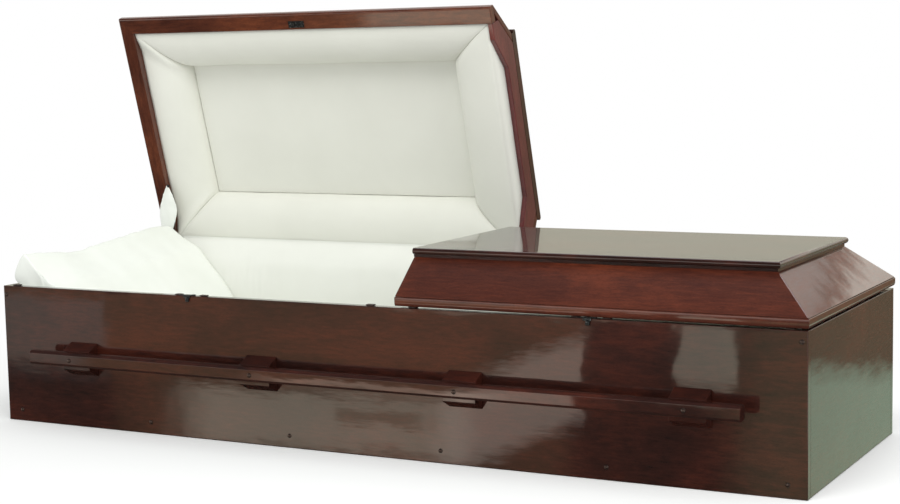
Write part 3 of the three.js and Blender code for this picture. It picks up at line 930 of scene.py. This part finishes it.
def build_hinge_apron():
    """Cloth from the open lid's lining over the hinge side and down inside the back wall."""
    left = LIDS["head_lid"]["left"] + 0.058
    right = LIDS["head_lid"]["right"] - HEADER
    wall = HALF_WIDTH - PANEL - LINING - 0.0042
    line = [
        opened(LID_HALF_WIDTH - BAND_WIDTH - 0.008, RIM_PLANE + 0.0012),
        opened(LID_HALF_WIDTH - BAND_WIDTH + 0.001, RIM_PLANE - 0.0028),
        Vector((0.3125, 0.3530)),
        Vector((0.3030, 0.3280)),
        Vector((wall, 0.2960)),
        Vector((wall - 0.0012, 0.2620)),
        Vector((wall, 0.2300)),
    ]
    section = curve_through(line, 8)
    columns = 150
    rows = []
    for k in range(columns + 1):
        x = left + (right - left) * k / columns
        row = []
        for i, spot in enumerate(section):
            share = i / (len(section) - 1)
            swell = noise.noise(Vector((x * 22, share * 1.5, 0.4))) * 0.0011 * math.sin(math.pi * share)
            gathered = math.exp(-((x + 0.735) / 0.075) ** 2) * smooth_step(0.35, 0.8, share)
            swell += 0.0022 * gathered * math.sin(x * 165 + 0.8 * share)
            row.append(Vector((x, spot.x - abs(swell), spot.y + swell * 0.4)))
        rows.append(row)
    piece = make_piece("hinge_apron_cloth", grid(rows), SHADED_WALL_CLOTH, closed=False)
    write_cloth_map(piece)
    thicken = piece.modifiers.new("thickness", "SOLIDIFY")
    thicken.thickness = 0.0012
    thicken.offset = 0
    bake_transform(piece)
    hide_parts("hinge_apron")


STAY_TOP = Vector((-0.972, 0.286, 0.535))
STAY_BOTTOM = Vector((-0.990, 0.303, 0.412))
# Half widths of the sleeve from its top down to its foot
STAY_HALF_WIDTHS = [0.003, 0.010, 0.017, 0.022, 0.0265, 0.029, 0.0285, 0.026, 0.022, 0.019]


def build_lid_stay():
    """Cloth sleeve over the lid's stay, pointed at its screw and widest near the pillow."""
    along = STAY_BOTTOM - STAY_TOP
    across = Vector((1, 0, 0))
    normal = across.cross(along).normalized()
    keys = [(k / (len(STAY_HALF_WIDTHS) - 1), w) for k, w in enumerate(STAY_HALF_WIDTHS)]
    rings = []
    rows = 26
    sides = 28
    for k in range(rows + 1):
        share = k / rows
        half = spread(keys, share)
        lean = 0.004 * math.sin(math.pi * share)
        centre = STAY_TOP + along * share + across * lean
        thick = 0.0026 * min(1.0, 0.35 + 2.2 * share)
        ring = []
        for i in range(sides):
            angle = 2 * math.pi * i / sides
            wave = noise.noise(Vector((math.cos(angle) * 2.2, share * 5, 7.0))) * 0.0016
            ring.append(
                centre + across * half * math.cos(angle)
                + normal * (math.sin(angle) * thick + wave * (1 if half > 0.008 else 0.3))
            )
        rings.append(ring)
    piece = make_piece("lid_stay_sleeve", swept(rings), CLOTH)
    write_cloth_map(piece)
    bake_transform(piece)
    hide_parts("lid_stay")


# Metal fittings
DOME = [
    (0.0052, -0.0012), (0.0052, 0.0006), (0.0048, 0.0014), (0.0038, 0.0022),
    (0.0024, 0.0028), (0.0010, 0.0031),
]


def domes(places, axis, scale=1.0):
    profile = [(r * scale, h * scale) for r, h in DOME]
    return joined(lathe(profile, place, axis) for place in places)


def fitting(name, shape, body, material=STEEL, nodes=()):
    piece = make_piece(name, shape, material)
    weighted_normals(piece.data)
    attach(piece, body)
    if nodes:
        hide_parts(*nodes)


def middle_x(node):
    low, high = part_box(node)
    return (low.x + high.x) / 2


LOW_SCREW_HEIGHT = 0.0275
HIGH_SCREW_HEIGHT = 0.313
BAR_SCREW_HEIGHT = 0.1725
BAR_GAP = 0.033
BAR_THICKNESS = 0.028


def build_screws():
    for side, facing in (("front", -1), ("back", 1)):
        y = facing * HALF_WIDTH
        low_row = [(x, y, LOW_SCREW_HEIGHT) for x in (-0.972, -0.577, -0.187, 0.202, 0.590, 0.975)]
        high_pair = [(x, y, HIGH_SCREW_HEIGHT) for x in (-1.007, 1.003)]
        shape = domes(low_row + high_pair, (0, facing, 0), 0.95)
        fitting(f"side_screws_{side}", shape, "casket", SCREW_METAL)
        bar_face = facing * (HALF_WIDTH + BAR_GAP + BAR_THICKNESS)
        places = [(x, bar_face, BAR_SCREW_HEIGHT) for x in (-0.767, -0.250, 0.269, 0.7815)]
        fitting(f"bar_screws_{side}", domes(places, (0, facing, 0)), "casket", SCREW_METAL)


def latch_shape(centre):
    """Latch keeper on the front rim: a plate over the edge, a raised catch and a nose down the face."""
    face = -HALF_WIDTH - FIT
    top = BODY_HEIGHT + FIT
    wide = 0.0105

    def slab(left, right, near, far, low, high, radius):
        return rounded_slab(
            (centre + left, face + near, low), (centre + right, face + far, high), radius, 2
        )

    return joined([
        slab(-wide, wide, -0.0005, 0.012, top, top + 0.0018, 0.0007),
        slab(0.001 - wide, wide - 0.001, -0.0024, -0.0001, BODY_HEIGHT - 0.0045, top + 0.0016, 0.0008),
        lathe(
            [(0.0050, -0.0006), (0.0050, 0.0012), (0.0044, 0.0022), (0.0026, 0.0029), (0.0010, 0.0031)],
            (centre + 0.002, face - 0.0013, BODY_HEIGHT - 0.0068), (0, -1, 0),
        ),
        slab(-0.0030, 0.0070, -0.0040, -0.0010, BODY_HEIGHT - 0.0135, BODY_HEIGHT - 0.0068, 0.0011),
        slab(-wide - 0.013, -wide - 0.0005, 0.0015, 0.0095, top, top + 0.0016, 0.0006),
        slab(wide + 0.0005, wide + 0.009, 0.0015, 0.0095, top, top + 0.0030, 0.0008),
    ])


def build_latches():
    for end in ("head", "foot"):
        node = f"latch_{end}"
        fitting(f"latch_keeper_{end}", latch_shape(middle_x(node)), "casket", nodes=[node])
    for end, low_x, high_x in (("head", -0.481, -0.434), ("foot", 0.534, 0.581)):
        lid = f"{end}_lid"
        y_low, y_high = -0.3155, -0.2985
        y_middle = (y_low + y_high) / 2
        face = RIM_PLANE - RIM_DROP
        under = face - 0.0010
        screws = [(x, y_middle, under + 0.001) for x in (low_x + 0.006, high_x - 0.006)]
        shape = joined([
            rounded_slab((low_x, y_low, under), (high_x, y_high, face + 0.0004), 0.0005, 2),
            rounded_slab(
                (low_x + 0.012, y_low + 0.004, under - 0.0006),
                (low_x + 0.019, y_high - 0.004, under + 0.0006), 0.0005, 2,
            ),
            domes(screws, (0, 0, -1), 0.5),
        ])
        fitting(f"strike_{end}", moved(shape, PLACES[lid]), lid)


def build_pads():
    for number in range(1, 5):
        name = f"rim_pad_{number}"
        low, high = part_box(name)
        high.z -= RIM_DROP
        fitting(f"{name}_rubber", rounded_slab(low, high, 0.0014, 2), "casket", RUBBER, [name])
    face = -HALF_WIDTH + 0.0025
    for number, centre in enumerate((-0.4865, -0.4165, 0.522, 0.592)):
        low = (centre - 0.0095, face, BODY_HEIGHT + FIT)
        high = (centre + 0.0095, face + 0.012, BODY_HEIGHT + FIT + 0.0026)
        fitting(f"latch_pad_{number + 1}", rounded_slab(low, high, 0.0012, 2), "casket", RUBBER)


LEAF_THICKNESS = 0.0018


def hinge_screws(lid, spacing, y, z):
    """Places of three screws across each of a lid's two hinges."""
    return [
        (middle_x(f"body_hinge_leaf_{lid}_{number}") + dx, y, z)
        for number in (1, 2) for dx in (-spacing, 0, spacing)
    ]


def build_hinges():
    for lid in LIDS:
        for number in (1, 2):
            for kind, body in (("body_hinge_leaf_" + lid, "casket"), (lid + "_hinge_leaf", lid)):
                name = f"{kind}_{number}"
                plain_board(
                    f"{name}_steel", name, 0.0003, CORNER, along_length, 0.0, STEEL, body
                )
    leaf_face = HALF_WIDTH + FIT + LEAF_THICKNESS
    spots = [spot for lid in LIDS for spot in hinge_screws(lid, 0.027, leaf_face, BODY_HEIGHT - 0.020)]
    fitting("body_hinge_screws", domes(spots, (0, 1, 0), 0.62), "casket")
    for lid in LIDS:
        spots = hinge_screws(lid, 0.030, LID_HALF_WIDTH + FIT + LEAF_THICKNESS, RIM_PLANE + 0.0088)
        fitting(f"{lid}_hinge_screws", moved(domes(spots, (0, 1, 0), 0.55), PLACES[lid]), lid)


def build_stay_screw():
    spot = HEAD_OPEN.inverted() @ Vector((-0.968, 0.286, 0.535))
    spot.z = RIM_PLANE - RIM_DROP
    shape = moved(domes([tuple(spot)], (0, 0, -1), 0.8), PLACES["head_lid"])
    fitting("lid_stay_screw", shape, "head_lid")


# Studio
def plane_stage(name, corners, material, ray_kinds):
    """A flat card of the studio, seen by the named kinds of ray only."""
    mesh = bpy.data.meshes.new(name)
    mesh.from_pydata(corners, [], [(0, 1, 2, 3)])
    mesh.materials.append(material)
    piece = add_object(name, mesh)
    for kind in ("camera", "diffuse", "glossy", "transmission", "volume_scatter", "shadow"):
        setattr(piece, f"visible_{kind}", kind in ray_kinds)


def light_of(tree, kind, colour, strength=1.0):
    return add_node(tree, kind, {"Color": colour, "Strength": strength}).outputs[0]


def mixed_shader(tree, share, first, second):
    return add_node(tree, "MixShader", {0: share, 1: first, 2: second}).outputs[0]


def floor_material():
    """Pale matt floor that turns into plain white away from the casket."""
    material, tree, shader = new_material("floor_pale")
    where = add_node(tree, "TexCoord").outputs["Object"]
    set_inputs(shader, {"Base Color": (0.90, 0.90, 0.895, 1), "Roughness": 0.9, "Specular IOR Level": 0.0})
    oval = scaled(tree, where, (0.55, 1.0, 1.0))
    reach = add_node(tree, "VectorMath", {0: oval}, operation="LENGTH").outputs["Value"]
    share = ranged(tree, reach, 0.42, 1.35, kind="SMOOTHSTEP")
    white = light_of(tree, "Emission", (1, 1, 1, 1))
    both = mixed_shader(tree, share, shader.outputs["BSDF"], white)
    set_inputs(tree.nodes["Material Output"], {"Surface": both})
    material.cycles.emission_sampling = "NONE"
    return material


# Painted reflections on the front panel, from a card that stands in for surroundings. Each row: x from and
# to with the softness of each edge, z from and to with the softness of each edge, rise of z along x, and
# colour with its strength; a negative colour paints shade
GLOW_DISTANCE = 2.0
FRONT_GLOWS = [
    ((-9, 0.542, 0.01, 0.012), (0.140, 0.340, 0.03, 0.003), 0.0, (0.62, 0.36, 0.19)),
    ((-0.66, 0.500, 0.10, 0.05), (-0.30, 0.140, 0.01, 0.03), 0.0, (0.45, 0.27, 0.15)),
    ((-9, -0.705, 0.01, 0.025), (0.140, 0.312, 0.05, 0.014), 0.0, (0.22, 0.40, 0.48)),
    ((0.200, 0.542, 0.05, 0.005), (-0.130, 0.050, 0.03, 0.028), 0.47, (1.95, 1.68, 1.50)),
    ((0.742, 0.875, 0.005, 0.010), (0.215, 0.340, 0.03, 0.002), 0.0, (2.00, 1.90, 1.53)),
    ((0.880, 9, 0.08, 0.01), (-0.30, 0.340, 0.01, 0.002), 0.0, (0.45, 0.50, 0.30)),
    ((-0.475, 0.230, 0.09, 0.10), (-0.005, 0.135, 0.035, 0.022), 0.03, (2.10, 1.95, 1.60)),
    # Negative colour: a painted dark patch in the front panel's painted reflections
    ((-0.060, 0.160, 0.03, 0.04), (0.070, 0.105, 0.010, 0.010), 0.02, (-1.10, -1.05, -0.90)),
    ((-0.200, 0.360, 0.10, 0.10), (0.150, 0.181, 0.010, 0.004), 0.0, (2.20, 1.65, 1.35)),
    ((0.090, 0.610, 0.01, 0.03), (0.341, 0.70, 0.001, 0.01), 0.0, (1.50, 1.20, 0.90)),
    ((0.640, 0.700, 0.02, 0.02), (0.341, 0.70, 0.001, 0.01), 0.0, (1.30, 1.15, 0.95)),
    ((0.760, 0.830, 0.02, 0.03), (0.341, 0.70, 0.001, 0.01), 0.0, (1.20, 1.10, 0.90)),
]
# Painted dark reflection that fills the card outside the glows
PAINTED_DARK_REFLECTION = (0.05, 0.03, 0.025)


def soft_range(tree, value, low, high, low_soft, high_soft):
    """One between low and high, falling softly to nothing outside."""
    above = ranged(tree, value, low - low_soft, low + low_soft, 0.0, 1.0, "SMOOTHSTEP")
    below = ranged(tree, value, high - high_soft, high + high_soft, 1.0, 0.0, "SMOOTHSTEP")
    return combine(tree, "MULTIPLY", above, below)


def build_front_glow():
    """A glowing card before the casket, seen only in its gloss, that paints reflections and a dark patch
    onto the front panel, laid out as the panel mirrors it.
    """
    reach = GLOW_DISTANCE / (-EYE.y - HALF_WIDTH)
    material = bpy.data.materials.new("front_glow")
    material.use_nodes = True
    tree = material.node_tree
    tree.nodes.clear()
    place = add_node(tree, "NewGeometry").outputs["Position"]
    parts = add_node(tree, "SeparateXYZ", {"Vector": place})
    unrest = noise_of(tree, place, 3.0, 3.0, 0.5)
    panel = []
    for axis, eye, sway in (("X", EYE.x, 0.006), ("Z", EYE.z, 0.028)):
        shifted = combine(tree, "ADD", parts.outputs[axis], reach * eye - sway / 2)
        swayed = combine(tree, "MULTIPLY_ADD", unrest, sway, shifted)
        panel.append(combine(tree, "DIVIDE", swayed, 1 + reach))
    total = PAINTED_DARK_REFLECTION
    for across, upright, rise, colour in FRONT_GLOWS:
        level = combine(tree, "MULTIPLY_ADD", panel[0], -rise, panel[1])
        share = combine(
            tree, "MULTIPLY", soft_range(tree, panel[0], *across), soft_range(tree, level, *upright)
        )
        scale = add_node(tree, "CombineXYZ", {"X": share, "Y": share, "Z": share}).outputs["Vector"]
        glow = scaled(tree, scale, colour)
        added = add_node(tree, "VectorMath", {0: glow, 1: total}, operation="ADD")
        total = added.outputs["Vector"]
    add_node(tree, "OutputMaterial", {"Surface": light_of(tree, "Emission", total)})
    material.cycles.emission_sampling = "NONE"
    y = -HALF_WIDTH - GLOW_DISTANCE
    left, right = ((1 + reach) * x - reach * EYE.x for x in (-1.35, 1.15))
    low, high = ((1 + reach) * z - reach * EYE.z for z in (-0.12, 0.40))
    corners = [(left, y, low), (right, y, low), (right, y, high), (left, y, high)]
    plane_stage("front_glow", corners, material, ("glossy",))


def build_world():
    world = bpy.data.worlds.new("studio")
    scene.world = world
    world.use_nodes = True
    world.cycles.sampling_method = "NONE"
    tree = world.node_tree
    tree.nodes.clear()
    direction = add_node(tree, "TexCoord").outputs["Generated"]
    parts = add_node(tree, "SeparateXYZ", {"Vector": direction})
    height = ranged(tree, parts.outputs["Z"], -1.0, 1.0)
    behind = ramp(tree, height, [
        (0.20, (0.10, 0.08, 0.06)), (0.364, (0.13, 0.10, 0.08)), (0.377, (0.58, 0.72, 0.52)),
        (0.4085, (0.56, 0.74, 0.55)), (0.4140, (0.20, 0.145, 0.090)), (0.480, (0.30, 0.23, 0.15)),
        (0.530, (0.52, 0.51, 0.41)), (0.580, (0.60, 0.59, 0.48)), (0.630, (1.22, 1.16, 1.04)),
        (0.6385, (1.36, 1.29, 1.15)), (0.6425, (0.30, 0.18, 0.13)), (0.6455, (0.30, 0.18, 0.13)),
        (0.650, (0.72, 0.62, 0.56)), (0.700, (0.85, 0.78, 0.74)), (0.860, (0.16, 0.13, 0.13)),
        (0.895, (3.60, 3.60, 3.60)), (0.950, (3.60, 3.60, 3.60)),
    ])
    before = ramp(tree, height, [
        (0.20, (0.08, 0.06, 0.05)), (0.44, (0.10, 0.08, 0.07)), (0.48, (2.70, 2.50, 2.30)),
        (0.55, (2.70, 2.50, 2.30)), (0.59, (0.25, 0.18, 0.16)), (0.80, (0.12, 0.10, 0.10)),
    ])
    side = ranged(tree, parts.outputs["Y"], 0.26, 0.40)
    past_foot = ranged(tree, parts.outputs["X"], 0.15, 0.21)
    level = ranged(tree, height, 0.41, 0.44)
    kept = combine(tree, "MAXIMUM", past_foot, level)
    seen = mixed(tree, side, before, mixed(tree, kept, (0.09, 0.06, 0.05, 1), behind))
    path = add_node(tree, "LightPath")
    ambient = light_of(tree, "Background", (0.97, 1.0, 0.985, 1), 0.72)
    gloss = light_of(tree, "Background", seen)
    backdrop = light_of(tree, "Background", (1, 1, 1, 1))
    unseen = mixed_shader(tree, path.outputs["Is Glossy Ray"], ambient, gloss)
    surface = mixed_shader(tree, path.outputs["Is Camera Ray"], unseen, backdrop)
    add_node(tree, "OutputWorld", {"Surface": surface})


def soft_light(name, place, size, power):
    """A rectangular light that shows in no gloss, aimed at the middle of the casket."""
    data = bpy.data.lights.new(name, "AREA")
    data.shape = "RECTANGLE"
    data.size, data.size_y = size
    data.energy = power
    lamp = add_object(name, data)
    lamp.location = place
    lamp.visible_glossy = False
    aim = Vector((0, 0, 0.3)) - Vector(place)
    lamp.rotation_euler = aim.to_track_quat("-Z", "Y").to_euler()


STUDIO_HALF_WIDTH = 30.0
STUDIO_FLOOR = -0.0008


def build_studio():
    scene.view_settings.view_transform = "Standard"
    corners = [(STUDIO_HALF_WIDTH * x, STUDIO_HALF_WIDTH * y, STUDIO_FLOOR) for x, y in SQUARE]
    plane_stage("studio_floor", corners, floor_material(), ("camera", "diffuse", "shadow"))
    build_world()
    soft_light("key_light", (0.7, -2.5, 3.6), (2.6, 1.8), 92)
    soft_light("fill_light", (3.6, -1.2, 1.9), (1.6, 1.6), 42)
    soft_light("back_light", (0.6, 3.4, 2.6), (2.4, 1.2), 34)
    build_front_glow()


build_body_boards()
for lid_name in LIDS:
    build_lid_boards(lid_name)
    build_lid_lining(lid_name)
build_pillow()
build_mattress()
build_body_lining()
build_hinge_apron()
build_lid_stay()
build_screws()
build_latches()
build_pads()
build_hinges()
build_stay_screw()
build_studio()
